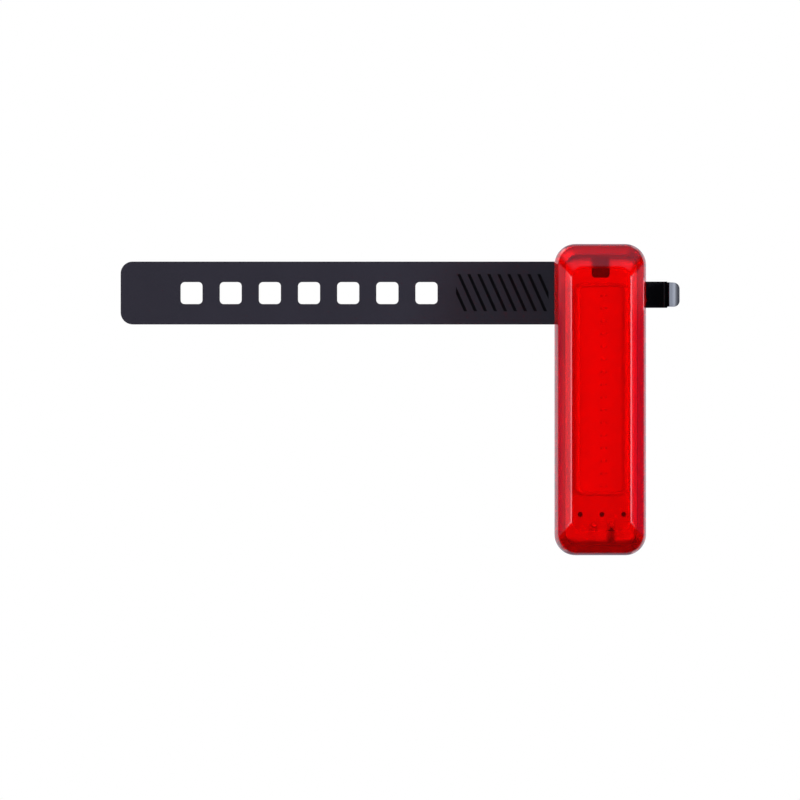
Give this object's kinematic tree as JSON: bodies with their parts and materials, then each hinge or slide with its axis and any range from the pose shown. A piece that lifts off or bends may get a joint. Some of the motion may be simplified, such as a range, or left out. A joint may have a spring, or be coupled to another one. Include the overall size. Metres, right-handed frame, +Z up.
{
  "type": "bike light",
  "caption": "Slim rechargeable rear bike light: clear red lens over an LED strip, black housing with hook and post saddle, holed rubber strap.",
  "frame": {"origin": "middle of the rubber saddle's dished face, where the seat post touches it, level with the strap and the hook", "axes": "+Z up along the light's long body, +Y from the lens to the post, +X from the strap to the hook"},
  "size_m": [0.1352, 0.0243, 0.0747],
  "materials": {
    "lens_red": "clear red polycarbonate, polished",
    "body_black": "gloss moulded ABS",
    "strap_rubber": "matte silicone rubber",
    "pad_rubber": "matte rubber",
    "button_rubber": "matte silicone rubber",
    "seal_rubber": "silicone rubber",
    "steel": "plain steel",
    "board_white": "white solder mask on aluminium core",
    "dam_white": "white silicone bead",
    "gel_clear": "clear silicone gel",
    "chip_yellow": "sapphire die",
    "copper": "tinned copper",
    "solder": "shiny solder",
    "wire_red": "insulated wire",
    "carrier_black": "matte moulded ABS",
    "board_green": "green solder mask on glass fibre",
    "chip_black": "moulded epoxy",
    "capacitor_tan": "ceramic",
    "led_white": "white moulded package",
    "cell_silver": "aluminium laminate pouch",
    "foam_grey": "closed-cell foam",
    "tongue_black": "moulded insulator",
    "contact_gold": "gold-plated contacts"
  },
  "bodies": {
    "light": {"lens": "lens_red", "lens_seal": "seal_rubber", "rear_housing": "body_black", "saddle_pad": "pad_rubber", "strap_pin": "steel", "led_board": "board_white", "led_dam": "dam_white", "led_chips": "chip_yellow", "led_gel": "gel_clear", "led_pads": "copper", "led_solder": "solder", "led_leads": "wire_red", "led_carrier": "carrier_black", "carrier_screws": "steel", "control_board": "board_green", "charger_chip": "chip_black", "controller_chip": "chip_black", "driver_chip": "chip_black", "capacitors": "capacitor_tan", "resistors": "chip_black", "gauge_leds": "led_white", "battery_cell": "cell_silver", "battery_tape": "foam_grey", "battery_foam": "foam_grey", "cell_board": "board_green", "battery_leads": "wire_red", "switch_body": "steel", "switch_terminals": "solder", "socket_shell": "steel", "socket_tongue": "tongue_black", "socket_contacts": "contact_gold"},
    "strap": {"strap": "strap_rubber"},
    "button": {"button": "button_rubber"},
    "switch_stem": {"switch_stem": "tongue_black"},
    "port_cover": {"port_cover": "button_rubber"}
  },
  "joints": [
    {"name": "strap_swing", "type": "hinge", "parent": "light", "child": "strap", "pos_m": [-0.0078, -0.0023, 0], "axis": [0, 0, 1], "range_deg": [-100, 20]},
    {"name": "button_press", "type": "slide", "parent": "light", "child": "button", "axis": [0, 0, -1], "range_m": [0, 0.0004], "stiffness_N_per_m": 800},
    {"name": "stem_press", "type": "slide", "parent": "light", "child": "switch_stem", "axis": [0, 0, -1], "range_m": [0, 0.0004]},
    {"name": "cover_swing", "type": "hinge", "parent": "light", "child": "port_cover", "pos_m": [0, -0.0072, -0.0623], "axis": [1, 0, 0], "range_deg": [0, 90], "stiffness_Nm_per_rad": 0.0002}
  ],
  "couplings": [
    {"joint": "stem_press", "follows": "button_press", "ratio": 1}
  ]
}
